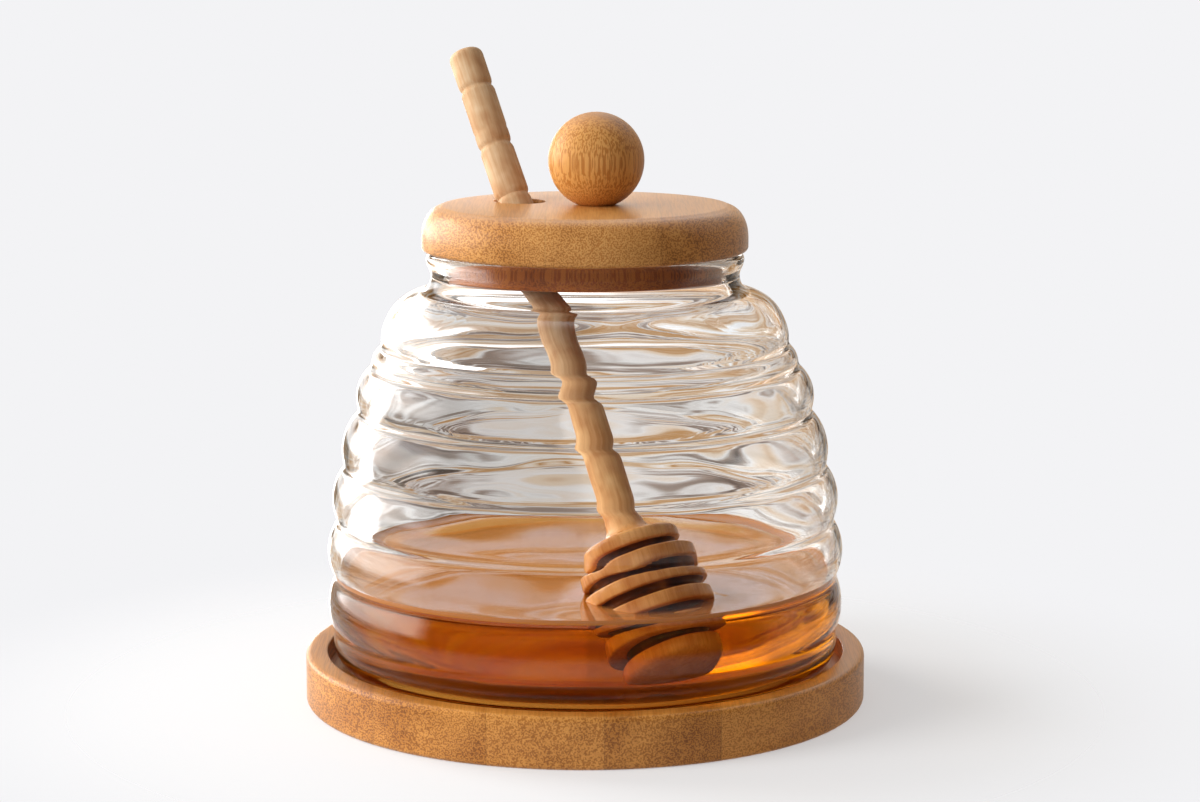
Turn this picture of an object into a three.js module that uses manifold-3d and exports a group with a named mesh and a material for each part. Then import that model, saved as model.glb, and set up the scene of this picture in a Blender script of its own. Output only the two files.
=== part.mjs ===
// A beehive-shaped glass honey jar on its bamboo tray, part filled, with its lid and dipper.
// Millimetres, +Z up. The origin is the middle of the tray's underside, and the front is -Y.
import * as THREE from 'three';
import { mergeVertices } from 'three/addons/utils/BufferGeometryUtils.js';
import Module from 'manifold-3d';

const wasm = await Module();
wasm.setup();

// Tray: a turned bamboo disc with a shallow recess that holds the jar's foot
const tray = { radius: 60, height: 11, edgeRound: 1.2, recessRadius: 55.3, recessDepth: 4 };
const standGap = 0.1;
const footHeight = tray.height - tray.recessDepth + standGap;

// Glass: each ridge swells between two notches, given as [radius, height above the table]
const notches = [
  [53.7, 15.6],
  [53.5, 27.4],
  [52.8, 39.2],
  [51.2, 50.8],
  [47.9, 62.6],
  [45.2, 72.2],
  [43.1, 76.5],
];
const ridgeSwell = 1.9;
const smallRidgeSwell = 0.9;
const foot = { radius: 48, curveRadius: 53.4, curveHeight: 10.6, hollowRadius: 40, hollowRise: 1.2 };
const wall = 2.2;
const innerSwell = 2.05;
const floorThickness = 3.2;
const floorCorner = 5;
const neck = { radius: 32.5, base: 88, waist: 92 };
const shoulder = { crownRadius: 42.3, crownHeight: 82, lipRadius: 34.2 };
const rim = { outerRadius: 33.8, boreRadius: 30, top: 96.6, bead: 3.6 };

// Honey, up to its level, clear of the glass by a hair
const honeyLevel = 28.2;
const fillGap = 0.3;

// Lid: a bamboo disc with a rounded side, and a plug that drops into the neck
const lid = { radius: 34.6, base: rim.top + standGap, top: 106.2, flatRadius: 30.4, sideHeight: 99.4 };
const plug = { radius: 28.6, base: 91.6, edgeRound: 0.6 };
const knob = { radius: 10.15, footRadius: 3.9, offset: 2.4 };

// Dipper: its axis passes a point near the honey's surface and leans back to the left
const dipper = { crossing: [13.15, -30.5, 27.5], leanX: -0.358, leanY: 0.48, above: 127.5, below: 14.3 };
const handle = { radius: 3.7, endRound: 1.5, grooves: [8.9, 22.8, 34.9], grooveWidth: 1.3, grooveDepth: 0.5 };
const head = { length: 28.5, flange: 1, disc: 2.75, groove: 2, core: 8.2 };
const headRadii = [10.2, 12.3, 12.9, 12.8, 11.9, 9.8];
const dipperHole = { radius: 5.25, shift: 1.1 };

// Facets round each turned piece
const facets = { jar: 44, honey: 44, lid: 46, knob: 28, handle: 24, tray: 52 };

function point(radius, height) {
  return new THREE.Vector2(radius, height);
}

// Points strictly between two ends of a circular arc that bulges to the right of the way from a to b
function arcBetween(a, b, bulge, count) {
  const chord = b.clone().sub(a);
  const half = chord.length() / 2;
  const radius = (half * half + bulge * bulge) / (2 * bulge);
  const across = point(chord.y, -chord.x).normalize();
  const centre = a.clone().add(b).multiplyScalar(0.5).addScaledVector(across, bulge - radius);
  const start = a.clone().sub(centre).angle();
  const sweep = 2 * Math.asin(Math.min(1, half / radius));
  const points = [];
  for (let i = 1; i <= count; i += 1) {
    const angle = start + (sweep * i) / (count + 1);
    points.push(point(centre.x + radius * Math.cos(angle), centre.y + radius * Math.sin(angle)));
  }
  return points;
}

// Points of a quarter ellipse about a centre, both ends included
function quarterRound(centre, width, height, from, to, steps) {
  const points = [];
  for (let i = 0; i <= steps; i += 1) {
    const angle = from + ((to - from) * i) / steps;
    points.push(point(centre.x + width * Math.cos(angle), centre.y + height * Math.sin(angle)));
  }
  return points;
}

// A chain of notches with the swell of each ridge between them
function ridged(ends, swellOf, perRidge) {
  const points = [];
  ends.forEach((end, i) => {
    points.push(end);
    if (i + 1 < ends.length) points.push(...arcBetween(end, ends[i + 1], swellOf(i), perRidge));
  });
  return points;
}

function turned(profile, segments) {
  return new THREE.LatheGeometry(profile, segments).rotateX(Math.PI / 2);
}

function toSolid(geometry) {
  const bare = geometry.clone();
  bare.deleteAttribute('normal');
  bare.deleteAttribute('uv');
  const merged = mergeVertices(bare, 1e-4);
  return new wasm.Manifold(new wasm.Mesh({
    numProp: 3,
    vertProperties: new Float32Array(merged.attributes.position.array),
    triVerts: new Uint32Array(merged.index.array),
  }));
}

function toGeometry(solid) {
  const mesh = solid.getMesh();
  const geometry = new THREE.BufferGeometry();
  geometry.setAttribute('position', new THREE.BufferAttribute(new Float32Array(mesh.vertProperties), 3));
  geometry.setIndex(new THREE.BufferAttribute(new Uint32Array(mesh.triVerts), 1));
  geometry.computeVertexNormals();
  return geometry;
}

function cutAway(geometry, cutter) {
  return toGeometry(toSolid(geometry).subtract(toSolid(cutter)));
}

const jarNotches = notches.map(([radius, height]) => point(radius, height));
const isSmallRidge = (i) => i === notches.length - 2;

function outerGlassProfile() {
  const swell = (i) => (isSmallRidge(i) ? smallRidgeSwell : ridgeSwell);
  const lastNotch = jarNotches[jarNotches.length - 1];
  const crown = point(shoulder.crownRadius, shoulder.crownHeight);
  const lip = point(shoulder.lipRadius, neck.base);
  const footEdge = point(foot.radius, footHeight);
  const footCurve = point(foot.curveRadius, foot.curveHeight);
  const beadMiddle = rim.top - rim.bead / 2;
  return [
    point(0, footHeight + foot.hollowRise),
    point(foot.hollowRadius, footHeight + foot.hollowRise),
    point(foot.hollowRadius + foot.hollowRise, footHeight),
    footEdge,
    ...arcBetween(footEdge, footCurve, 1, 2),
    footCurve,
    ...arcBetween(footCurve, jarNotches[0], 0.5, 2),
    ...ridged(jarNotches, swell, 4),
    ...arcBetween(lastNotch, crown, 0.5, 1),
    crown,
    ...arcBetween(crown, lip, 1.6, 3),
    lip,
    point(neck.radius + 0.4, neck.base + 1.6),
    point(neck.radius, neck.waist),
    ...quarterRound(point(neck.radius, beadMiddle), rim.outerRadius - neck.radius, rim.bead / 2,
      -Math.PI / 3, Math.PI / 2, 4),
  ];
}

// The inner wall follows the ridges more softly. grow moves it into the glass, and below zero out of it.
function innerGlassProfile(grow) {
  const floor = footHeight + floorThickness - grow;
  const inner = jarNotches.map((notch) => point(notch.x - wall + grow, notch.y));
  const swell = (i) => (isSmallRidge(i) ? smallRidgeSwell : innerSwell);
  const corner = point(inner[0].x - floorCorner, floor + floorCorner);
  const crown = point(shoulder.crownRadius - wall + grow, shoulder.crownHeight - wall / 2);
  const lip = point(rim.boreRadius + grow, neck.base - wall / 2);
  return [
    point(0, floor),
    ...quarterRound(corner, floorCorner, floorCorner, -Math.PI / 2, 0, 3),
    ...ridged(inner, swell, 3),
    ...arcBetween(inner[inner.length - 1], crown, 0.4, 1),
    crown,
    ...arcBetween(crown, lip, 1.8, 2),
    lip,
    point(rim.boreRadius + grow, rim.top - 0.8),
  ];
}

function makeJarGlass() {
  const inside = innerGlassProfile(0).reverse();
  return turned([...outerGlassProfile(), point(rim.boreRadius + 0.8, rim.top), ...inside], facets.jar);
}

const dipperDirection = new THREE.Vector3(dipper.leanX, dipper.leanY, 1).normalize();
const dipperCrossing = new THREE.Vector3(...dipper.crossing);
const dipperFoot = dipperCrossing.clone().addScaledVector(dipperDirection, -dipper.below);
const dipperTurn = new THREE.Quaternion().setFromUnitVectors(new THREE.Vector3(0, 0, 1), dipperDirection);
const dipperLength = dipper.above + dipper.below;

// Moves a geometry that stands on the origin to where the dipper stands
function alongDipper(geometry) {
  const place = new THREE.Matrix4().compose(dipperFoot, dipperTurn, new THREE.Vector3(1, 1, 1));
  return geometry.applyMatrix4(place);
}

// Each disc of the head as [lower edge, upper edge, radius], from the bottom up
function headDiscs() {
  const pitch = head.disc + head.groove;
  const top = head.length - head.flange;
  return headRadii.map((radius, i) => {
    const upper = top - i * pitch;
    return [upper - head.disc, upper, radius];
  }).reverse();
}

function makeDipper() {
  const discs = headDiscs();
  const [, firstTop, firstRadius] = discs[0];
  const profile = [
    point(0, 0),
    point(firstRadius - 4, 0),
    point(firstRadius - 1.2, 1),
    point(firstRadius, firstTop - 1.2),
    point(firstRadius - 0.3, firstTop),
    point(head.core - 1, firstTop + 0.2),
  ];
  discs.slice(1).forEach(([lower, upper, radius], i) => {
    const isTop = i === discs.length - 2;
    profile.push(point(isTop ? head.core - 1 : head.core, lower - 0.2));
    profile.push(point(radius, lower));
    profile.push(point(radius, upper - (isTop ? 0.8 : 0)));
    if (isTop) profile.push(point(radius - 0.8, upper));
    else profile.push(point(head.core, upper + 0.2));
  });
  profile.push(point(handle.radius + 1.2, head.length));
  profile.push(point(handle.radius, head.length + 1.5));
  [...handle.grooves].reverse().forEach((fromTop) => {
    const middle = dipperLength - fromTop;
    profile.push(point(handle.radius, middle - handle.grooveWidth / 2));
    profile.push(point(handle.radius - handle.grooveDepth, middle));
    profile.push(point(handle.radius, middle + handle.grooveWidth / 2));
  });
  profile.push(point(handle.radius, dipperLength - handle.endRound));
  profile.push(point(handle.radius - handle.endRound * 0.4, dipperLength - handle.endRound * 0.4));
  profile.push(point(0, dipperLength));
  return turned(profile, facets.handle);
}

// The smooth outline of the head, a hair wider, that the honey closes round
function headEnvelope() {
  const profile = [
    point(0, -fillGap),
    point(headRadii[headRadii.length - 1] - 4, -fillGap),
  ];
  headDiscs().forEach(([lower, upper, radius]) => {
    profile.push(point(radius + fillGap, lower < head.disc ? 1 : lower));
    profile.push(point(radius + fillGap, upper));
  });
  profile.push(point(0, head.length));
  return turned(profile, facets.handle);
}

function makeHoney() {
  const inside = innerGlassProfile(-fillGap);
  const body = inside.filter((p) => p.y < honeyLevel - fillGap);
  const edge = Math.min(body[body.length - 1].x, inside[body.length].x);
  const filled = turned([...body, point(edge, honeyLevel), point(0, honeyLevel)], facets.honey);
  return cutAway(filled, alongDipper(headEnvelope()));
}

function makeLid() {
  const side = point(lid.flatRadius, lid.sideHeight);
  const profile = [
    point(0, plug.base),
    point(plug.radius - plug.edgeRound, plug.base),
    point(plug.radius, plug.base + plug.edgeRound),
    point(plug.radius, lid.base),
    point(lid.radius - 0.8, lid.base),
    point(lid.radius, lid.base + 0.9),
    ...quarterRound(side, lid.radius - lid.flatRadius, lid.top - lid.sideHeight - 0.3, 0, Math.PI / 2, 6),
    point(0, lid.top),
  ];
  const topEdge = [point(lid.flatRadius, lid.top - 0.3), point(lid.flatRadius - 0.4, lid.top)];
  profile.splice(profile.length - 2, 1, ...topEdge);
  const hole = new THREE.CylinderGeometry(dipperHole.radius, dipperHole.radius, dipperLength, facets.handle)
    .rotateX(Math.PI / 2)
    .translate(0, 0, dipperLength / 2);
  return cutAway(turned(profile, facets.lid), alongDipper(hole).translate(dipperHole.shift, 0, 0));
}

function makeKnob() {
  const drop = Math.sqrt(knob.radius ** 2 - knob.footRadius ** 2);
  const start = -Math.asin(drop / knob.radius);
  const ball = quarterRound(point(0, drop), knob.radius, knob.radius, start, Math.PI / 2, 14);
  ball[ball.length - 1].x = 0;
  return turned([point(0, 0), ...ball], facets.knob);
}

function makeTray() {
  const round = tray.edgeRound;
  const recessFloor = tray.height - tray.recessDepth;
  return turned([
    point(0, 0),
    ...quarterRound(point(tray.radius - round, round), round, round, -Math.PI / 2, 0, 3),
    ...quarterRound(point(tray.radius - round, tray.height - round), round, round, 0, Math.PI / 2, 3),
    point(tray.recessRadius + 0.4, tray.height),
    point(tray.recessRadius, tray.height - 0.4),
    point(tray.recessRadius, recessFloor),
    point(0, recessFloor),
  ], facets.tray);
}

function piece(name, geometry, color, roughness) {
  const mesh = new THREE.Mesh(geometry, new THREE.MeshStandardMaterial({ color, roughness, metalness: 0 }));
  mesh.name = name;
  return mesh;
}

const honeyJar = new THREE.Group();

honeyJar.add(piece('base_tray', makeTray(), 0xc8935a, 0.5));
honeyJar.add(piece('jar_glass', makeJarGlass(), 0xe4e6e8, 0.03));
honeyJar.add(piece('honey', makeHoney(), 0xb8600f, 0.05));
honeyJar.add(piece('lid', makeLid(), 0xd09a5c, 0.45));

const lidKnob = piece('lid_knob', makeKnob(), 0xc9904f, 0.4);
lidKnob.position.set(knob.offset, 0, lid.top);
honeyJar.add(lidKnob);

const dipperPiece = piece('dipper', makeDipper(), 0xdcb689, 0.6);
dipperPiece.position.copy(dipperFoot);
dipperPiece.quaternion.copy(dipperTurn);
honeyJar.add(dipperPiece);

export default honeyJar;
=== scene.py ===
import math
import bpy
from mathutils import Matrix, Vector


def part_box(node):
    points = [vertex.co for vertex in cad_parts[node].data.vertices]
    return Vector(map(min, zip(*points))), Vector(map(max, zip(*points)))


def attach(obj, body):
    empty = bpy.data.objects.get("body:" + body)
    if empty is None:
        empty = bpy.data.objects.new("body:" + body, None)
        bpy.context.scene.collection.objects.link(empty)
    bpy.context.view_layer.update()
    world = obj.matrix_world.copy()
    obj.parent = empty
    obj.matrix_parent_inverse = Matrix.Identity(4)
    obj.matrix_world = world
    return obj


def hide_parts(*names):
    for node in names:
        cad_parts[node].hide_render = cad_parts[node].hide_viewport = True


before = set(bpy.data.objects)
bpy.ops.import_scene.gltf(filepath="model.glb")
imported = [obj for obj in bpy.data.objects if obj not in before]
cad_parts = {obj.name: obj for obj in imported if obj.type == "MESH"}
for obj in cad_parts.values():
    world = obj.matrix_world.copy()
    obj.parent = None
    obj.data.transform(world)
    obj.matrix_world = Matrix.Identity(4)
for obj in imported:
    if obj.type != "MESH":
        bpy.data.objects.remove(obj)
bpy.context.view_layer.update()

# A beehive glass jar part filled with honey, on its bamboo tray, with its bamboo lid, ball
# knob and wooden dipper. Sizes are in millimetres, the outer sizes and places come from the
# frame's solids, and every profile is a list of (radius, height) points.
MM = 0.001

_, tray_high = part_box("base_tray")
glass_low, glass_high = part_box("jar_glass")
_, honey_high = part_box("honey")
lid_low, lid_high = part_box("lid")
knob_low, knob_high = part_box("lid_knob")

TRAY_RADIUS = tray_high.x / MM
TRAY_TOP = tray_high.z / MM
TRAY_EDGE_ROUND = 1.2
RECESS_RADIUS = 55.3
RECESS_DEPTH = 4
RECESS_EDGE_ROUND = 0.4
# Radius and fading edge of the painted glow on the recess floor under the jar
RECESS_GLOW_RADIUS = 49
RECESS_GLOW_FADE = 2

GLASS_FOOT = glass_low.z / MM
GLASS_RIM = glass_high.z / MM
GLASS_WALL = 1.7
GLASS_FLOOR = 3.2
FOOT_FLAT = [0, 20, 41]
FOOT_EDGE = (48, GLASS_FOOT)
FOOT_CURVE = (53.4, 10.6)
FOOT_BULGE = 1
GLASS_FLOOR_EDGE = 40
GLASS_FLOOR_CORNER = 5
NOTCHES = [(53.7, 15.6), (53.5, 27.4), (52.8, 39.2), (51.2, 50.8), (47.9, 62.6), (45.2, 72.2),
           (43.1, 76.5)]
OUTER_SWELL = 1.9
INNER_SWELL = 2.05
FOOT_SWELL = 1.4
SMALL_SWELL = 0.9
SLIGHT_BULGE = 0.5
RIDGE_POINTS = 15
SHOULDER_CROWN = (42.3, 82)
SHOULDER_LIP = (34.2, 88)
SHOULDER_BULGE = 1.6
INNER_SHOULDER_BULGE = 1.5
INNER_LIP_INSET = 0.2
NECK_FOOT = (32.9, 89.6)
NECK_RADIUS = 32.5
NECK_WAIST = 92
RIM_RADIUS = 33.8
RIM_BEAD = 3.6
BORE_RADIUS = 30
BORE_FLARE = [(1, 1.8), (0.3, 3.4), (0, 5)]       # outside the bore, above the shoulder's lip
RIM_ROUND = [(1.4, 0), (0.4, 0.25)]               # outside the bore, below the rim's top
BORE_EDGE = 0.8
BLOWN_WAVE = 0.2
BLOWN_WAVE_LENGTH = 22

HONEY_LEVEL = honey_high.z / MM
HONEY_INTO_WALL = 0.2
HONEY_INTO_WOOD = 0.12
MENISCUS_RISE = 0.9
MENISCUS_REACH = 3
SIDE_CLOUD = 0.03
TOP_CLOUD = 0.72

LID_RADIUS = lid_high.x / MM
LID_TOP = lid_high.z / MM
LID_BASE = GLASS_RIM + 0.1
LID_EDGE_ROUND = 0.9
LID_SIDE_HEIGHT = 99.4
LID_FLAT_RADIUS = 30.4
LID_CREASE = [(0.1, 0.06), (0.7, 0)]              # inside the flat's edge, below the lid's top
LID_CREASE_DROP = 0.3
PLUG_BASE = lid_low.z / MM
PLUG_RADIUS = 28.6
PLUG_EDGE_ROUND = 0.6

KNOB_RADIUS = (knob_high.y - knob_low.y) / 2 / MM
KNOB_FOOT_RADIUS = 3.9
KNOB_OFFSET = 2.4

# The dipper's axis passes through the crossing and leans by this much for each unit of height
DIPPER_CROSSING = (13.15, -30.5, 27.5)
DIPPER_LEAN = (-0.358, 0.48)
DIPPER_ABOVE = 127.5
DIPPER_BELOW = 14.3
DIPPER_LENGTH = DIPPER_ABOVE + DIPPER_BELOW
HANDLE_RADIUS = 3.7
HANDLE_FLARE = [(2.2, -0.2), (0.9, 0.5), (0.25, 1.6), (0, 4)]    # outside the handle, above the head
HANDLE_GROOVES = [(34.9, 0.42), (22.8, 0.4), (8.9, 0.42)]        # below the handle's end, deep
GROOVE_EDGE = [(1.3, 0), (0.75, 0.1)]                            # away from its middle, deep
GROOVE_BED_HALF = 0.25
GROOVE_BED_SHARE = 0.8
HANDLE_LINE = (19.1, 0.12)
HANDLE_LINE_HALF = 0.8
HANDLE_END_ROUND = (1.3, 1.5)
HEAD_LENGTH = 28.5
HEAD_FLANGE = 1
HEAD_CORE = 8.2
END_GROOVE_DEEPER = 1
HEAD_DISC = 2.75
HEAD_GROOVE = 2
GROOVE_SLOPE = 0.3
HEAD_RADII = [9.8, 11.9, 12.8, 12.9, 12.3, 10.2]
HEAD_DOME = (5, 1.9)
DISC_EDGE_ROUND = 0.45
TOP_DISC_ROUND = 1
TURNED_WAVE = 0.25
TURNED_WAVE_LENGTH = 9
GROOVE_HONEY_INSET = 0.9
GROOVE_HONEY_LIP = (0.8, 0.35)
GROOVE_HONEY_HOLLOW = 1.1
GROOVE_HONEY_DEPTH = 1.5
GROOVE_HONEY_OVERLAP = 0.05
HOLE_RADIUS = 5.25
HOLE_SHIFT = 1.1

ROUND_STEPS = 192
SLIM_STEPS = 96
HOLE_STEPS = 64


def arc_between(a, b, bulge, count):
    """Points strictly between a and b on an arc that bulges to the right of the way."""
    (ax, ay), (bx, by) = a, b
    half = math.hypot(bx - ax, by - ay) / 2
    radius = (half * half + bulge * bulge) / (2 * bulge)
    ux, uy = (by - ay) / (2 * half), (ax - bx) / (2 * half)
    cx = (ax + bx) / 2 + ux * (bulge - radius)
    cy = (ay + by) / 2 + uy * (bulge - radius)
    start = math.atan2(ay - cy, ax - cx)
    sweep = 2 * math.asin(min(1, half / radius))
    steps = [start + sweep * i / (count + 1) for i in range(1, count + 1)]
    return [(cx + radius * math.cos(t), cy + radius * math.sin(t)) for t in steps]


def round_corner(centre, width, height, start, end, count):
    """Points of an elliptic corner from one angle to another, in degrees, both ends included."""
    angles = [math.radians(start + (end - start) * i / count) for i in range(count + 1)]
    return [(centre[0] + width * math.cos(t), centre[1] + height * math.sin(t)) for t in angles]


def softened(points, passes, spacing=0.6):
    """Walks a profile in even steps and eases its corners, its two ends left where they are."""
    even, left = [points[0]], spacing
    for (ax, ay), (bx, by) in zip(points, points[1:]):
        length = math.hypot(bx - ax, by - ay)
        while left <= length:
            even.append((ax + (bx - ax) * left / length, ay + (by - ay) * left / length))
            left += spacing
        left -= length
    points = even + [points[-1]]
    for _ in range(passes):
        eased = [points[0]]
        for before, here, after in zip(points, points[1:], points[2:]):
            eased.append(tuple((b + 2 * h + a) / 4 for b, h, a in zip(before, here, after)))
        points = eased + [points[-1]]
    return points


def ridged(notches, swell):
    """A chain of notches with a round ridge between each two; the first and last swell less."""
    swells = [FOOT_SWELL] + [swell] * (len(notches) - 3) + [SMALL_SWELL]
    points = []
    for notch, following, bulge in zip(notches, notches[1:], swells):
        points += [notch, *arc_between(notch, following, bulge, RIDGE_POINTS)]
    return points + [notches[-1]]


def nothing_selected():
    if bpy.context.object and bpy.context.object.mode != "OBJECT":
        bpy.ops.object.mode_set(mode="OBJECT")
    bpy.ops.object.select_all(action="DESELECT")


def turn_on_lathe(name, profile, steps=ROUND_STEPS):
    """One closed turned piece about Z: a point is extruded along the profile and spun round."""
    nothing_selected()
    start_r, start_z = profile[0]
    bpy.ops.mesh.primitive_plane_add(size=MM, location=(0, 0, 0))
    piece = bpy.context.object
    piece.name = piece.data.name = name
    bpy.ops.object.mode_set(mode="EDIT")
    bpy.ops.mesh.select_all(action="SELECT")
    bpy.ops.mesh.merge(type="CENTER")
    bpy.ops.transform.translate(value=(start_r * MM, 0, start_z * MM))
    for (r0, z0), (r1, z1) in zip(profile, profile[1:]):
        step = ((r1 - r0) * MM, 0, (z1 - z0) * MM)
        bpy.ops.mesh.extrude_region_move(TRANSFORM_OT_translate={"value": step})
    bpy.ops.mesh.select_all(action="SELECT")
    bpy.ops.mesh.spin(steps=steps, angle=2 * math.pi, center=(0, 0, 0), axis=(0, 0, 1))
    bpy.ops.mesh.select_all(action="SELECT")
    bpy.ops.mesh.remove_doubles(threshold=0.005 * MM)
    bpy.ops.mesh.normals_make_consistent(inside=False)
    bpy.ops.object.mode_set(mode="OBJECT")
    return piece


def smooth(piece, sharp_above):
    """Shades the piece smooth, apart from edges that turn by more than the angle in degrees."""
    nothing_selected()
    piece.select_set(True)
    bpy.context.view_layer.objects.active = piece
    bpy.ops.object.shade_smooth_by_angle(angle=math.radians(sharp_above))


def apply_modifiers(piece):
    nothing_selected()
    piece.select_set(True)
    bpy.context.view_layer.objects.active = piece
    for modifier in list(piece.modifiers):
        bpy.ops.object.modifier_apply(modifier=modifier.name)


def cut(piece, cutter):
    """Cuts the cutter out of the piece and removes the cutter."""
    tool = piece.modifiers.new("cut", "BOOLEAN")
    tool.operation = "DIFFERENCE"
    tool.solver = "EXACT"
    tool.object = cutter
    apply_modifiers(piece)
    bpy.data.objects.remove(cutter, do_unlink=True)


def swell_unevenly(piece, strength, length):
    """Pulls a blown or hand-turned surface slightly out of true, in waves of about this length."""
    waves = bpy.data.textures.new(piece.name + "_waves", "CLOUDS")
    waves.noise_scale = length * MM
    waves.noise_depth = 1
    tool = piece.modifiers.new("waves", "DISPLACE")
    tool.texture = waves
    tool.strength = strength * MM
    tool.mid_level = 0.5
    apply_modifiers(piece)
    bpy.data.textures.remove(waves)


DIPPER_AXIS = Vector((*DIPPER_LEAN, 1)).normalized()
DIPPER_TURN = Vector((0, 0, 1)).rotation_difference(DIPPER_AXIS)
DIPPER_FOOT = Vector(DIPPER_CROSSING) * MM - DIPPER_AXIS * DIPPER_BELOW * MM


def stand_along_dipper(piece, shift=(0, 0, 0)):
    """Moves a piece that was turned on the origin to where the dipper stands."""
    place = Matrix.Translation(DIPPER_FOOT + Vector(shift) * MM) @ DIPPER_TURN.to_matrix().to_4x4()
    piece.data.transform(place)
    return piece


def finish_piece(piece, node, material):
    piece.data.materials.clear()
    piece.data.materials.append(material)
    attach(piece, "root")
    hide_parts(node)


# Materials

def linear(hex_colour):
    """An sRGB hex colour as the linear RGBA that shaders take."""
    parts = [int(hex_colour[i:i + 2], 16) / 255 for i in (1, 3, 5)]
    return (*[p / 12.92 if p <= 0.04045 else ((p + 0.055) / 1.055) ** 2.4 for p in parts], 1)


def new_material(name):
    material = bpy.data.materials.new(name)
    material.use_nodes = True
    tree = material.node_tree
    tree.nodes.clear()
    return material, tree


def add(tree, kind, *inputs, stops=(), **named):
    """Adds one shader node. Its inputs come in the order of its sockets or by their names, each
    a value, or the node or socket to link. Names in small letters are the node's settings, and
    stops are a colour ramp's places, each with a hex colour or a grey from 0 to 1."""
    node = tree.nodes.new("ShaderNode" + kind)
    for name in filter(str.islower, named):
        setattr(node, name, named[name])
    sockets = [socket for socket in node.inputs if socket.enabled]
    by_name = {socket.name.replace(" ", "_"): socket for socket in reversed(sockets)}
    given = [*zip(sockets, inputs)] + [(by_name[n], named[n]) for n in named if not n.islower()]
    for socket, source in given:
        if isinstance(source, bpy.types.Node):
            source = next(output for output in source.outputs if output.enabled)
        if isinstance(source, bpy.types.NodeSocket):
            tree.links.new(source, socket)
        else:
            socket.default_value = source
    while stops and len(node.color_ramp.elements) < len(stops):
        node.color_ramp.elements.new(0.5)
    for i, (place, colour) in enumerate(stops):
        element = node.color_ramp.elements[i]
        element.position = place
        element.color = linear(colour) if isinstance(colour, str) else (colour, colour, colour, 1)
    return node


def toned(tree, strength, *changes):
    """A strength times each change in turn. A change is (source, start, end) and rises softly
    from 0 to 1 while the source goes from start to end, or names its own two values after them."""
    for change in changes:
        step = add(tree, "MapRange", *change, interpolation_type="SMOOTHSTEP")
        strength = add(tree, "Math", strength, step, operation="MULTIPLY")
    return strength


def let_lamps_through(tree, glass, tint):
    """Light on its way to a lamp goes straight through, as it nearly does in a thin wall."""
    path = add(tree, "LightPath")
    to_lamp = add(tree, "Math", path.outputs["Is Shadow Ray"], path.outputs["Is Diffuse Ray"],
                  operation="MAXIMUM")
    return add(tree, "MixShader", to_lamp, glass, add(tree, "BsdfTransparent", linear(tint)))


def clear_glass():
    """Blown borosilicate glass, fire polished: mirror smooth, with a faint grey in its thickness."""
    material, tree = new_material("blown_borosilicate_glass")
    glass = add(tree, "BsdfPrincipled", Base_Color=linear("#fafbfc"), Roughness=0.0, IOR=1.47,
                Transmission_Weight=1.0)
    add(tree, "OutputMaterial", Surface=let_lamps_through(tree, glass, "#f2f3f4"))
    return material


def amber_honey():
    """Liquid honey, a little cloudy: gold where thin and deep amber where thick. The glass round
    it takes most of the bending of light, and its open top is the cloudier face."""
    material, tree = new_material("cloudy_amber_honey")
    height = add(tree, "SeparateXYZ", add(tree, "TexCoord").outputs["Object"]).outputs["Z"]
    body = add(tree, "BsdfPrincipled", Base_Color=linear("#fff8e8"), Roughness=0.0, IOR=1.25,
               Transmission_Weight=1.0)
    cloud = add(tree, "BsdfPrincipled", Base_Color=linear("#d98630"), Roughness=0.03, IOR=1.9)
    share = add(tree, "MapRange", height, (HONEY_LEVEL - 0.3) * MM, (HONEY_LEVEL - 0.1) * MM,
                SIDE_CLOUD, TOP_CLOUD, interpolation_type="SMOOTHSTEP")
    mixed = add(tree, "MixShader", share, let_lamps_through(tree, body, "#fff0d0"), cloud)
    depth = add(tree, "VolumeAbsorption", linear("#f7e33f"), 95.0)
    add(tree, "OutputMaterial", Surface=mixed, Volume=depth)
    return material


# Bamboo's pattern: fibre bundles, softer streaks and broad tones to a millimetre, how they are
# drawn out along the grain, and how far they jump from strip to strip
BUNDLES = 3.1 / MM
STREAKS = 0.7 / MM
BROAD_TONES = 0.09 / MM
GRAIN_STRETCH = 0.03
STRIP_STEP = 0.37


def fibre_place(tree, spot, grain_axis, strip):
    """Places drawn out along the grain, and moved on from strip to strip."""
    third_axis = {"Y": "Z", "Z": "Y"}[grain_axis]
    along = add(tree, "Math", spot.outputs[grain_axis], GRAIN_STRETCH, operation="MULTIPLY")
    drawn_out = add(tree, "CombineXYZ", spot.outputs["X"], along, spot.outputs[third_axis])
    step = add(tree, "Math", strip, STRIP_STEP, operation="MULTIPLY")
    moved = add(tree, "CombineXYZ", step, step)
    return add(tree, "VectorMath", drawn_out, moved, operation="ADD")


def fibre_speckle(tree, fibres):
    """Pale ground and dark bundles, about 0.3 mm apart, fainter on a face that looks up."""
    bundles = add(tree, "TexNoise", fibres, BUNDLES, Detail=1.2, Roughness=0.45)
    speckle = add(tree, "ValToRGB", bundles, stops=[(0.44, 0.0), (0.53, 1.0)])
    facing = add(tree, "SeparateXYZ", add(tree, "NewGeometry").outputs["Normal"])
    upward = add(tree, "MapRange", facing.outputs["Z"], 0.75, 0.97, 0.0, 0.6,
                 interpolation_type="SMOOTHSTEP")
    return add(tree, "Mix", upward, speckle, 0.7, data_type="FLOAT")


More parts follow.
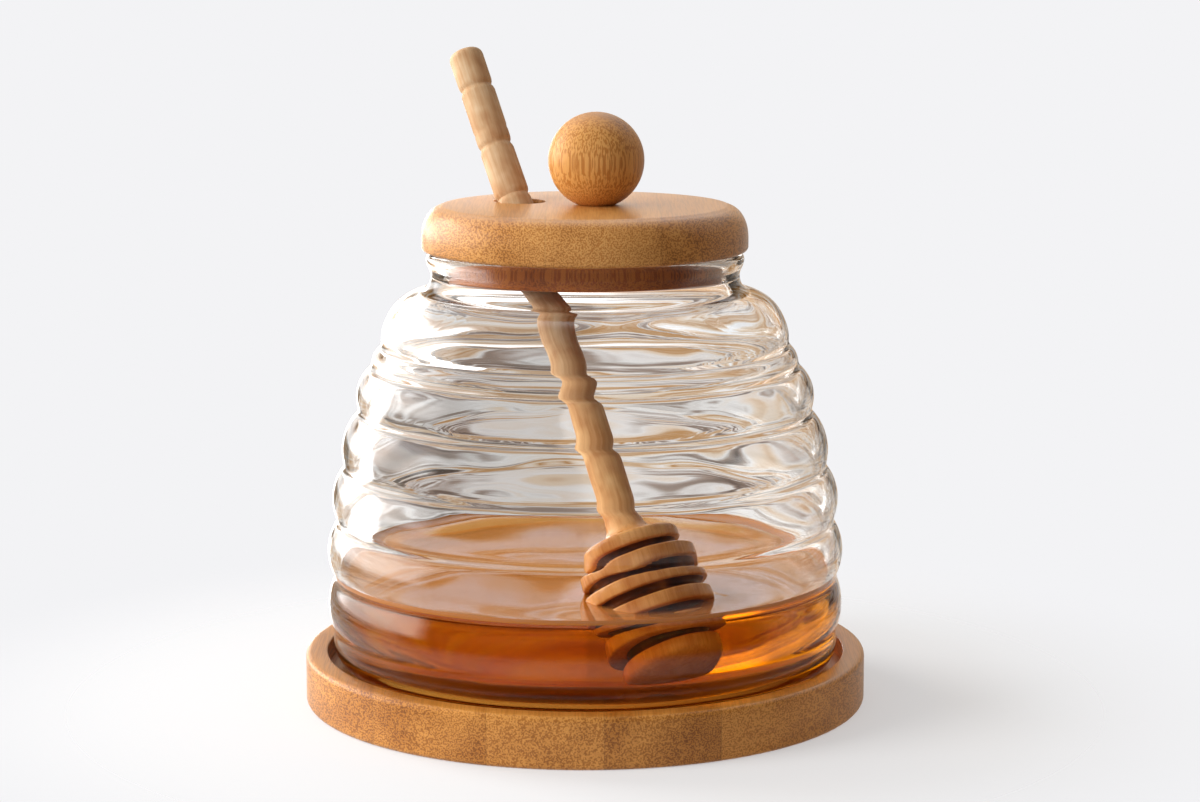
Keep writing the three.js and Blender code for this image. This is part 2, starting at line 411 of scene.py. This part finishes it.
def strip_tones(tree, fibres, streaks, strip, speckle, tones):
    """The wood's colour: each strip a little paler or darker, with its speckle in two tones."""
    pale, mid, dark = tones
    broad = add(tree, "TexNoise", fibres, BROAD_TONES, Detail=2.0)
    chance = add(tree, "TexWhiteNoise", noise_dimensions="1D", W=strip)
    tone = add(tree, "Math", streaks, 0.45, broad, operation="MULTIPLY_ADD")
    tone = add(tree, "Math", chance, 0.3, tone, operation="MULTIPLY_ADD")
    ground = add(tree, "ValToRGB", tone, stops=[(0.55, mid), (1.0, pale)])
    bundles = add(tree, "ValToRGB", tone, stops=[(0.55, dark), (1.0, mid)])
    return add(tree, "Mix", speckle, bundles, ground, data_type="RGBA")


def glue_lines(tree, strips, colour):
    """A slightly darker glue line, under half a millimetre wide, between strips."""
    within = add(tree, "Math", strips, operation="FRACT")
    from_middle = add(tree, "Math", add(tree, "Math", within, 0.5, operation="SUBTRACT"),
                      operation="ABSOLUTE")
    line = add(tree, "ValToRGB", from_middle, stops=[(0.490, 1.0), (0.498, 0.86)])
    return add(tree, "Mix", 1.0, colour, line, data_type="RGBA", blend_type="MULTIPLY")


def plug_painted_shade(tree, spot, colour):
    """Below the lid's disc the plug is painted darker and more saturated, as painted shade under the
    lid.
    """
    lid_shade = add(tree, "MapRange", spot.outputs["Z"], LID_BASE * MM, (LID_BASE - 0.3) * MM,
                interpolation_type="SMOOTHSTEP")
    return add(tree, "Mix", lid_shade, colour, linear("#e2b377"), data_type="RGBA",
               blend_type="MULTIPLY")


def recess_painted_glow(tree, spot, colour):
    """Under the jar the recess floor is painted pale gold: a painted glow that stands in for light led
    down through the honey.
    """
    flat = add(tree, "CombineXYZ", spot.outputs["X"], spot.outputs["Y"])
    reach = add(tree, "VectorMath", flat, operation="LENGTH")
    glow_end = RECESS_GLOW_RADIUS + RECESS_GLOW_FADE
    floor = TRAY_TOP - RECESS_DEPTH + 0.3
    under = toned(tree, 1.0, (reach, glow_end * MM, RECESS_GLOW_RADIUS * MM),
                  (spot.outputs["Z"], (floor + 0.3) * MM, floor * MM))
    return add(tree, "Mix", under, colour, linear("#f0b45c"), data_type="RGBA")


def bamboo(name, grain_axis, strip_width, strip_shift, tones, polish, painted_light=None):
    """Laminated bamboo, sanded and oiled: fibre bundles show as a dense speckle on the cut ends
    and as fine streaks along the grain, in glued strips of slightly different tone."""
    material, tree = new_material(name)
    spot = add(tree, "SeparateXYZ", add(tree, "TexCoord").outputs["Object"])
    strips = add(tree, "Math", spot.outputs["X"], 1 / (strip_width * MM), strip_shift,
                 operation="MULTIPLY_ADD")
    strip = add(tree, "Math", strips, operation="FLOOR")
    fibres = fibre_place(tree, spot, grain_axis, strip)
    streaks = add(tree, "TexNoise", fibres, STREAKS, Detail=2.0, Roughness=0.6)
    speckle = fibre_speckle(tree, fibres)
    colour = glue_lines(tree, strips, strip_tones(tree, fibres, streaks, strip, speckle, tones))
    # Painted light where given: painted shade on the lid's plug, a painted glow on the tray's recess
    # floor
    if painted_light:
        colour = painted_light(tree, spot, colour)
    relief = add(tree, "Bump", Strength=0.3, Distance=0.12 * MM, Height=speckle)
    rough = add(tree, "MapRange", streaks, 0.0, 1.0, 0.36, 0.5)
    board = add(tree, "BsdfPrincipled", IOR=1.5, Coat_Weight=polish, Coat_Roughness=0.3,
                Base_Color=colour, Roughness=rough, Normal=relief)
    add(tree, "OutputMaterial", Surface=board)
    return material


# Beech: fibres and blotches to a millimetre, how far above the honey it is wet, and how far above
# the honey a painted warm glow reaches, standing in for light the honey throws up. Its tints multiply
# the wood's colour, and two lift the red in it.
BEECH_FIBRES = 1.5 / MM
BEECH_BLOTCHES = 0.16 / MM
BEECH_STRETCH = 0.06
WET_UP_TO = (12, 34)
BOUNCE_GLOW_UP_TO = (25, 60)
BOUNCE_GLOW_TINT = (1.24, 1.04, 0.76, 1)
SUBMERGED_TINT = (1.15, 0.8, 0.5, 1)
WETTED_TINT = (0.92, 0.71, 0.47, 1)


def honey_tint_and_bounce_glow(tree, height, wet, wood):
    """Honey tints the wood it wets, less where the honey round the wood tints it too. From a span
    above the honey downwards the wood is also painted warmer and brighter: a painted glow standing in
    for light thrown up by the honey.
    """
    low, high = BOUNCE_GLOW_UP_TO
    bounce_glow = add(tree, "MapRange", height, (HONEY_LEVEL + high) * MM, (HONEY_LEVEL + low) * MM,
                   interpolation_type="SMOOTHSTEP")
    warm_lit = add(tree, "Mix", bounce_glow, wood, BOUNCE_GLOW_TINT, data_type="RGBA", blend_type="MULTIPLY")
    clear_of_honey = add(tree, "MapRange", height, (HONEY_LEVEL - 2) * MM, (HONEY_LEVEL + 1) * MM,
                         interpolation_type="SMOOTHSTEP")
    tint = add(tree, "Mix", clear_of_honey, SUBMERGED_TINT, WETTED_TINT, data_type="RGBA")
    return add(tree, "Mix", wet, warm_lit, tint, data_type="RGBA", blend_type="MULTIPLY")


def bare_beech():
    """Turned beech, left bare: close straight fibres, amber and shiny where honey wets them, with a
    painted warm glow low down near the honey.
    """
    material, tree = new_material("turned_bare_beech")
    place = add(tree, "TexCoord").outputs["Object"]
    turned = add(tree, "Mapping", place, DIPPER_FOOT, DIPPER_TURN.to_euler(), vector_type="TEXTURE")
    drawn_out = add(tree, "VectorMath", turned, (1, 1, BEECH_STRETCH), operation="MULTIPLY")
    fibres = add(tree, "TexNoise", drawn_out, BEECH_FIBRES, Detail=3.0, Roughness=0.6)
    blotches = add(tree, "TexNoise", turned, BEECH_BLOTCHES, Detail=2.0)
    tone = add(tree, "Math", fibres, 0.6, blotches, operation="MULTIPLY_ADD")
    wood = add(tree, "ValToRGB", tone, stops=[(0.6, "#b98a60"), (0.8, "#cba47b"), (1.0, "#dbbd98")])

    height = add(tree, "SeparateXYZ", place).outputs["Z"]
    uneven = add(tree, "Math", blotches, 12 * MM, height, operation="MULTIPLY_ADD")
    low, high = WET_UP_TO
    wet = add(tree, "MapRange", uneven, (HONEY_LEVEL + low) * MM, (HONEY_LEVEL + high) * MM, 1.0, 0.0,
              interpolation_type="SMOOTHSTEP")
    sheen = add(tree, "MapRange", wet, 0.0, 1.0, 0.55, 0.18)
    relief = add(tree, "Bump", Strength=0.2, Distance=0.1 * MM, Height=fibres)
    body = add(tree, "BsdfPrincipled", IOR=1.5, Base_Color=honey_tint_and_bounce_glow(tree, height, wet, wood),
               Roughness=sheen, Normal=relief)
    add(tree, "OutputMaterial", Surface=body)
    return material


def clinging_honey_and_shade():
    """Honey that clings between the dipper's discs and hides the wood. It is dark, partly the honey's
    own colour and partly painted shade deep in the grooves. Its flow marks lie about 4 mm apart."""
    material, tree = new_material("thick_dark_honey")
    flow = add(tree, "TexNoise", add(tree, "TexCoord").outputs["Object"], 0.26 / MM, Detail=2.0)
    amber = add(tree, "ValToRGB", flow, stops=[(0.35, "#35130a"), (0.6, "#5e2a0c"), (0.8, "#8a4812")])
    body = add(tree, "BsdfPrincipled", IOR=1.35, Roughness=0.35, Base_Color=amber)
    add(tree, "OutputMaterial", Surface=body)
    return material


# Pieces

def outer_glass():
    """The outside of the blown wall from the middle of its foot up to the rim's bead."""
    bead_middle = (NECK_RADIUS, GLASS_RIM - RIM_BEAD / 2)
    body = [
        FOOT_EDGE, *arc_between(FOOT_EDGE, FOOT_CURVE, FOOT_BULGE, 6),
        FOOT_CURVE, *arc_between(FOOT_CURVE, NOTCHES[0], SLIGHT_BULGE, 6),
        *ridged(NOTCHES, OUTER_SWELL),
        *arc_between(NOTCHES[-1], SHOULDER_CROWN, SLIGHT_BULGE, 7),
        SHOULDER_CROWN, *arc_between(SHOULDER_CROWN, SHOULDER_LIP, SHOULDER_BULGE, 9),
        SHOULDER_LIP, NECK_FOOT, (NECK_RADIUS, NECK_WAIST),
        *round_corner(bead_middle, RIM_RADIUS - NECK_RADIUS, RIM_BEAD / 2, -60, 90, 9),
    ]
    return [(radius, GLASS_FOOT) for radius in FOOT_FLAT] + softened(body, passes=4)


def inner_glass():
    """The inside of the wall from the floor to the bore."""
    floor = GLASS_FOOT + GLASS_FLOOR
    inner = [(r - GLASS_WALL, z) for r, z in NOTCHES]
    corner = (inner[0][0] - GLASS_FLOOR_CORNER, floor + GLASS_FLOOR_CORNER)
    crown = (SHOULDER_CROWN[0] - GLASS_WALL, SHOULDER_CROWN[1] - GLASS_WALL / 3)
    lip = (SHOULDER_LIP[0] - GLASS_WALL - INNER_LIP_INSET, SHOULDER_LIP[1] - GLASS_WALL / 2)
    body = [
        (GLASS_FLOOR_EDGE, floor),
        *round_corner(corner, GLASS_FLOOR_CORNER, GLASS_FLOOR_CORNER, -90, 0, 8),
        *ridged(inner, INNER_SWELL),
        *arc_between(inner[-1], crown, SLIGHT_BULGE, 7),
        crown, *arc_between(crown, lip, INNER_SHOULDER_BULGE, 9),
        lip, *[(BORE_RADIUS + out, lip[1] + up) for out, up in BORE_FLARE],
        (BORE_RADIUS, GLASS_RIM - BORE_EDGE),
    ]
    return [(0, floor)] + softened(body, passes=6)


def wet_wall():
    """The inside of the wall as far up as the honey's edge, just inside the glass."""
    lowest = GLASS_FOOT + 1
    wall = [(r + HONEY_INTO_WALL, max(z - HONEY_INTO_WALL, lowest)) for r, z in inner_glass()]
    wall[0] = (0, wall[0][1])
    top = HONEY_LEVEL + MENISCUS_RISE
    above = next(i for i, p in enumerate(wall) if p[1] > top)
    (r0, z0), (r1, z1) = wall[above - 1], wall[above]
    return wall[:above] + [(r0 + (r1 - r0) * (top - z0) / (z1 - z0), top)]


def make_jar():
    rim_top = [(BORE_RADIUS + out, GLASS_RIM - down) for out, down in RIM_ROUND]
    jar = turn_on_lathe("jar_glass_blown", outer_glass() + rim_top + inner_glass()[::-1])
    swell_unevenly(jar, BLOWN_WAVE, BLOWN_WAVE_LENGTH)
    smooth(jar, sharp_above=80)
    finish_piece(jar, "jar_glass", clear_glass())


def make_honey():
    """The honey, whose edge curls up the glass, with the dipper's head cut out of it."""
    wall = wet_wall()
    edge = wall[-1][0]
    curl = [(edge - MENISCUS_REACH * t, HONEY_LEVEL + MENISCUS_RISE * (1 - t) ** 3)
            for t in (0.1, 0.25, 0.5, 0.75, 1)]
    flat = [(edge * t, HONEY_LEVEL) for t in (0.8, 0.5, 0.2, 0)]
    honey = turn_on_lathe("honey_fill", wall + curl + flat)
    core = turn_on_lathe("dipper_core", dipper_profile(-HONEY_INTO_WOOD), SLIM_STEPS)
    cut(honey, stand_along_dipper(core))
    smooth(honey, sharp_above=50)
    finish_piece(honey, "honey", amber_honey())


def head_discs():
    """Each disc of the head as (lower edge, upper edge, radius), from the foot up."""
    pitch = HEAD_DISC + HEAD_GROOVE
    last = len(HEAD_RADII) - 1
    tops = [HEAD_LENGTH - HEAD_FLANGE - (last - i) * pitch for i in range(len(HEAD_RADII))]
    return [(top - HEAD_DISC, top, radius) for top, radius in zip(tops, HEAD_RADII)]


def head_profile(grow):
    """The head's outline from its domed foot up to its top disc, fatter by grow all over."""
    edge = DISC_EDGE_ROUND
    width, height = HEAD_DOME
    discs = head_discs()
    last = len(discs) - 1
    _, foot_top, foot_radius = discs[0]
    points = [(0, -grow)]
    points += round_corner((foot_radius - width, height), width + grow, height + grow, -90, 0, 9)
    points += round_corner((foot_radius - edge, foot_top - edge), edge + grow, edge + grow, 0, 90, 3)
    for i, (lower, upper, radius) in enumerate(discs[1:], 1):
        core = HEAD_CORE + grow - (END_GROOVE_DEEPER if i in (1, last) else 0)
        groove_foot = lower - HEAD_GROOVE + GROOVE_SLOPE + grow
        points += [(core, groove_foot), (core, lower - GROOVE_SLOPE - grow)]
        points += round_corner((radius - edge, lower + edge), edge + grow, edge + grow, -90, 0, 3)
        bend = TOP_DISC_ROUND if i == last else edge
        points += round_corner((radius - bend, upper - bend), bend + grow, bend + grow, 0, 90, 4)
    return points


def handle_groove(radius, height, depth):
    """One soft-edged groove turned into a handle of this radius, at this height."""
    half = [*GROOVE_EDGE, (GROOVE_BED_HALF, depth * GROOVE_BED_SHARE)]
    lower = [(radius - sunk, height - away) for away, sunk in half]
    upper = [(radius - sunk, height + away) for away, sunk in half[::-1]]
    return [*lower, (radius - depth, height), *upper]


def dipper_profile(grow):
    """The dipper's outline from its foot up, fatter by grow all over."""
    radius = HANDLE_RADIUS + grow
    flare = [(radius + out, HEAD_LENGTH + up) for out, up in HANDLE_FLARE]
    low_groove, middle_groove, top_groove = [
        handle_groove(radius, DIPPER_LENGTH - below_end, depth) for below_end, depth in HANDLE_GROOVES]
    below_end, depth = HANDLE_LINE
    line = [(radius, DIPPER_LENGTH - below_end - HANDLE_LINE_HALF),
            (radius - depth, DIPPER_LENGTH - below_end),
            (radius, DIPPER_LENGTH - below_end + HANDLE_LINE_HALF)]
    width, height = HANDLE_END_ROUND
    end = round_corner((HANDLE_RADIUS - width, DIPPER_LENGTH - height), width + grow, height + grow,
                       0, 80, 5)
    return [*head_profile(grow), *flare, *low_groove, *middle_groove, *line, *top_groove, *end,
            (0, DIPPER_LENGTH + grow)]


def make_dipper():
    dipper = turn_on_lathe("dipper_turned", dipper_profile(0), SLIM_STEPS)
    swell_unevenly(dipper, TURNED_WAVE, TURNED_WAVE_LENGTH)
    stand_along_dipper(dipper)
    smooth(dipper, sharp_above=38)
    finish_piece(dipper, "dipper", bare_beech())


def groove_ring(lower, upper, brim):
    """A ring of honey that fills a groove between two discs, its outer face hollow."""
    lip_in, lip_up = GROOVE_HONEY_LIP
    inside = HEAD_CORE - GROOVE_HONEY_DEPTH
    base, top = lower - GROOVE_HONEY_OVERLAP, upper + GROOVE_HONEY_OVERLAP
    return [(inside, base), (brim, base), (brim - lip_in, lower + lip_up),
            (brim - GROOVE_HONEY_HOLLOW, (lower + upper) / 2), (brim - lip_in, upper - lip_up),
            (brim, top), (inside, top), (inside, base)]


def make_groove_honey():
    """The honey in the grooves of the head, a ring in each."""
    discs = head_discs()
    rings = []
    for (_, lower, below), (upper, _, above) in zip(discs, discs[1:]):
        brim = min(below, above) - GROOVE_HONEY_INSET
        rings.append(turn_on_lathe("groove_honey", groove_ring(lower, upper, brim), SLIM_STEPS))
    nothing_selected()
    for ring in rings:
        ring.select_set(True)
    bpy.context.view_layer.objects.active = rings[0]
    bpy.ops.object.join()
    honey = stand_along_dipper(rings[0])
    smooth(honey, sharp_above=50)
    honey.data.materials.append(clinging_honey_and_shade())
    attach(honey, "root")


def make_lid():
    """The lid: a disc with a pillowed edge over its plug, drilled along the dipper."""
    plug, edge = PLUG_EDGE_ROUND, LID_EDGE_ROUND
    side = (LID_FLAT_RADIUS, LID_SIDE_HEIGHT)
    rise = LID_TOP - LID_SIDE_HEIGHT - LID_CREASE_DROP
    profile = [
        (0, PLUG_BASE), *round_corner((PLUG_RADIUS - plug, PLUG_BASE + plug), plug, plug, -90, 0, 4),
        (PLUG_RADIUS, LID_BASE), (LID_RADIUS - edge, LID_BASE),
        *round_corner((LID_RADIUS - edge, LID_BASE + edge), edge, edge, -70, 0, 5),
        *round_corner(side, LID_RADIUS - LID_FLAT_RADIUS, rise, 0, 84, 22),
        *[(LID_FLAT_RADIUS - into, LID_TOP - down) for into, down in LID_CREASE],
        (LID_FLAT_RADIUS / 2, LID_TOP), (0, LID_TOP),
    ]
    lid = turn_on_lathe("lid_turned", profile)
    bore = [(0, 0), (HOLE_RADIUS, 0), (HOLE_RADIUS, DIPPER_LENGTH), (0, DIPPER_LENGTH)]
    drill = turn_on_lathe("hole_drill", bore, HOLE_STEPS)
    cut(lid, stand_along_dipper(drill, (HOLE_SHIFT, 0, 0)))
    smooth(lid, sharp_above=40)
    # The lid's plug gets painted shade below the disc
    wood = bamboo("laminated_bamboo_lid", "Y", strip_width=23.5, strip_shift=0.34,
                  tones=("#dfa45c", "#c07d38", "#8d5820"), polish=0.7, painted_light=plug_painted_shade)
    finish_piece(lid, "lid", wood)


def make_knob():
    """The ball on the lid, with a small flat where it stands."""
    drop = math.sqrt(KNOB_RADIUS ** 2 - KNOB_FOOT_RADIUS ** 2)
    start = -math.degrees(math.asin(drop / KNOB_RADIUS))
    ball = round_corner((0, LID_TOP + drop), KNOB_RADIUS, KNOB_RADIUS, start, 90, 40)
    ball[-1] = (0, ball[-1][1])
    knob = turn_on_lathe("lid_knob_ball", [(0, LID_TOP)] + ball, SLIM_STEPS)
    knob.data.transform(Matrix.Translation((KNOB_OFFSET * MM, 0, 0)))
    smooth(knob, sharp_above=60)
    wood = bamboo("turned_bamboo_knob", "Z", strip_width=30, strip_shift=0.5,
                  tones=("#dca058", "#bc7b37", "#8f5a22"), polish=0.3)
    finish_piece(knob, "lid_knob", wood)


def make_tray():
    """The tray: a disc with a round recess for the jar's foot."""
    edge, rim = TRAY_EDGE_ROUND, RECESS_EDGE_ROUND
    floor = TRAY_TOP - RECESS_DEPTH
    profile = [
        (0, 0), *round_corner((TRAY_RADIUS - edge, edge), edge, edge, -90, 0, 6),
        *round_corner((TRAY_RADIUS - edge, TRAY_TOP - edge), edge, edge, 0, 90, 6),
        *round_corner((RECESS_RADIUS + rim, TRAY_TOP - rim), rim, rim, 90, 180, 3),
        (RECESS_RADIUS, floor), (0, floor),
    ]
    tray = turn_on_lathe("base_tray_turned", profile)
    smooth(tray, sharp_above=40)
    # The recess floor under the jar gets a painted glow
    wood = bamboo("laminated_bamboo_tray", "Y", strip_width=23.4, strip_shift=0.84,
                  tones=("#dd9a4a", "#b77328", "#834a10"), polish=0.45, painted_light=recess_painted_glow)
    finish_piece(tray, "base_tray", wood)


# Stage, light and camera

FLOOR_RADIUS = 300
FLOOR_FADES_FROM = 64
FLOOR_FADED_AT = 160

# Two square lamps on the left: name, place, width and watts
LAMPS = [("key_front_left", (-900, -380, 450), 550, 9), ("key_back_left", (-750, 500, 350), 500, 9)]
LAMP_AIM = Vector((0, 0, 50))

# The room's streaks: how each axis of the view is drawn out, and their tones from dark to light
BAND_STRETCH = (3.0, 0.6, 26.0)
LOW_BANDS = [(0.34, "#5c5550"), (0.42, "#a6978c"), (0.47, "#f5f1ed"), (0.52, "#edd8c0"),
             (0.57, "#c49664"), (0.62, "#ecd6bc"), (0.70, "#ffffff")]
WARM_BANDS = [(0.34, "#a8703a"), (0.45, "#dca870"), (0.53, "#f4ddc2"), (0.62, "#ffffff")]


def make_floor():
    """A pale floor that fades into the even background away from the jar."""
    nothing_selected()
    bpy.ops.mesh.primitive_circle_add(vertices=96, radius=FLOOR_RADIUS * MM, fill_type="TRIFAN",
                                      location=(0, 0, 0))
    floor = bpy.context.object
    floor.name = "floor"
    material, tree = new_material("pale_floor")
    away = add(tree, "VectorMath", add(tree, "TexCoord").outputs["Object"], operation="LENGTH")
    fade = add(tree, "MapRange", away, FLOOR_FADES_FROM * MM, FLOOR_FADED_AT * MM, 0.5, 1.0,
               interpolation_type="SMOOTHSTEP")
    paint = add(tree, "BsdfDiffuse", linear("#fafafb"))
    add(tree, "OutputMaterial", add(tree, "MixShader", fade, paint, add(tree, "BsdfTransparent")))
    floor.data.materials.append(material)


def room_bands(tree, way, z):
    """Long grey and tan bands low down, warm wood tones above the horizon, a grey ceiling."""
    drawn_out = add(tree, "VectorMath", way, BAND_STRETCH, operation="MULTIPLY")
    bands = add(tree, "TexNoise", drawn_out, 1.0, Detail=3.0, Roughness=0.62)
    raised = add(tree, "MapRange", z, 0.0, 0.1, interpolation_type="SMOOTHSTEP")
    walls = add(tree, "Mix", raised, add(tree, "ValToRGB", bands, stops=LOW_BANDS),
                add(tree, "ValToRGB", bands, stops=WARM_BANDS), data_type="RGBA")
    overhead = add(tree, "MapRange", z, 0.3, 0.5, interpolation_type="SMOOTHSTEP")
    return add(tree, "Mix", overhead, walls, linear("#ededf0"), data_type="RGBA")


def room_brightness(tree, x, y, z):
    """How bright the bands are: dim in front, to the far right and on a screen behind. Only light
    mirrored by an outer or near wall, after few passages, finds the front of the room dim."""
    path = add(tree, "LightPath")
    walls_met = path.outputs["Transmission Depth"]
    front = toned(tree, 0.94, (y, 0.3, -0.25), (path.outputs["Glossy Depth"], 0.0, 1.0),
                  (walls_met, 0.0, 1.0, 1.0, 0.82), (walls_met, 5.0, 4.0))
    screen = toned(tree, 1.0, (x, -0.16, -0.03), (x, 0.0, -0.01), (y, 0.2, 0.5))
    return toned(tree, 1.0, (front, 0.0, 1.0, 1.0, 0.0), (x, 0.25, 0.75, 1.0, 0.5),
                 (z, 0.02, 0.12, 1.0, 1.3), (screen, 0.0, 1.0, 1.0, 0.78))


def room_lights(tree, x, y, z):
    """A window from the left round to the left of the back, and a lamp's glow behind the jar
    that flares a little further to the left."""
    window = toned(tree, 2.4, (x, -0.46, -0.6), (y, -0.3, -0.1), (z, -0.12, 0.0), (z, 0.55, 0.45))
    behind = [(z, 0.14, 0.08), (y, 0.6, 0.8)]
    glow = toned(tree, 1.8, (x, 0.08, -0.05), (z, -0.08, -0.02), *behind)
    flare = toned(tree, 4.0, (x, -0.12, -0.18), (x, -0.32, -0.24), (z, -0.3, -0.2), *behind)
    lamps = add(tree, "Math", glow, flare, operation="ADD")
    return add(tree, "Math", lamps, window, operation="ADD")


def room_in_the_glass(tree, way, sides):
    """What glass, honey and polish show of the room round the jar."""
    x, y, z = sides.outputs
    shaded = add(tree, "VectorMath", room_bands(tree, way, z), operation="SCALE",
                 Scale=room_brightness(tree, x, y, z))
    whole = add(tree, "VectorMath", shaded, room_lights(tree, x, y, z), operation="ADD")
    return add(tree, "Background", whole)


def make_surroundings():
    """A pale room: even for the lens, a soft fall of light from the left on wood and floor, and
    a banded room for the glass to bend."""
    world = bpy.data.worlds.new("studio")
    bpy.context.scene.world = world
    world.use_nodes = True
    tree = world.node_tree
    tree.nodes.clear()
    way = add(tree, "TexCoord").outputs["Generated"]
    sides = add(tree, "SeparateXYZ", way)
    rightward = sides.outputs["X"]
    fall = add(tree, "MapRange", rightward, -1.0, 0.9, 0.64, 0.3, interpolation_type="SMOOTHSTEP")
    warming = add(tree, "MapRange", rightward, -0.2, 0.9, interpolation_type="SMOOTHSTEP")
    warmth = add(tree, "Mix", warming, linear("#fffdfa"), linear("#ffe6c8"), data_type="RGBA")
    soft = add(tree, "Background", warmth, fall)
    seen = add(tree, "Background", linear("#f3f3f5"), 1.0)
    path = add(tree, "LightPath")
    by_glass = add(tree, "Math", path.outputs["Is Transmission Ray"], path.outputs["Is Glossy Ray"],
                   operation="MAXIMUM")
    lit = add(tree, "MixShader", by_glass, soft, room_in_the_glass(tree, way, sides))
    mixed = add(tree, "MixShader", path.outputs["Is Camera Ray"], lit, seen)
    add(tree, "OutputWorld", mixed)


def soft_box(name, place, width, power):
    """A large lamp that lights the wood and floor but shows no hard shape in the glass."""
    light = bpy.data.lights.new(name, "AREA")
    light.size = width * MM
    light.energy = power
    lamp = bpy.data.objects.new(name, light)
    bpy.context.scene.collection.objects.link(lamp)
    lamp.location = Vector(place) * MM
    lamp.rotation_euler = (LAMP_AIM - Vector(place)).to_track_quat("-Z", "Y").to_euler()
    lamp.visible_glossy = False
    lamp.visible_transmission = False


# The photograph's camera: before the jar, a little above it, tipped down and turned by degrees
CAMERA_DISTANCE = 650.6
CAMERA_HEIGHT = 172.1
CAMERA_PITCH = 9.417
CAMERA_PAN = 0.28
FOCAL_PIXELS = 3094.8
PHOTO_WIDTH = 1200


def make_camera():
    data = bpy.data.cameras.new("photo_camera")
    data.sensor_width = 36
    data.lens = FOCAL_PIXELS * data.sensor_width / PHOTO_WIDTH
    data.clip_start = 10 * MM
    camera = bpy.data.objects.new("photo_camera", data)
    camera.location = (0, -CAMERA_DISTANCE * MM, CAMERA_HEIGHT * MM)
    camera.rotation_euler = (math.radians(90 - CAMERA_PITCH), 0, -math.radians(CAMERA_PAN))
    bpy.context.scene.collection.objects.link(camera)
    bpy.context.scene.camera = camera


make_camera()
make_floor()
make_surroundings()
for lamp in LAMPS:
    soft_box(*lamp)
make_tray()
make_jar()
make_honey()
make_lid()
make_knob()
make_dipper()
make_groove_honey()

bpy.context.scene.view_settings.view_transform = "Standard"
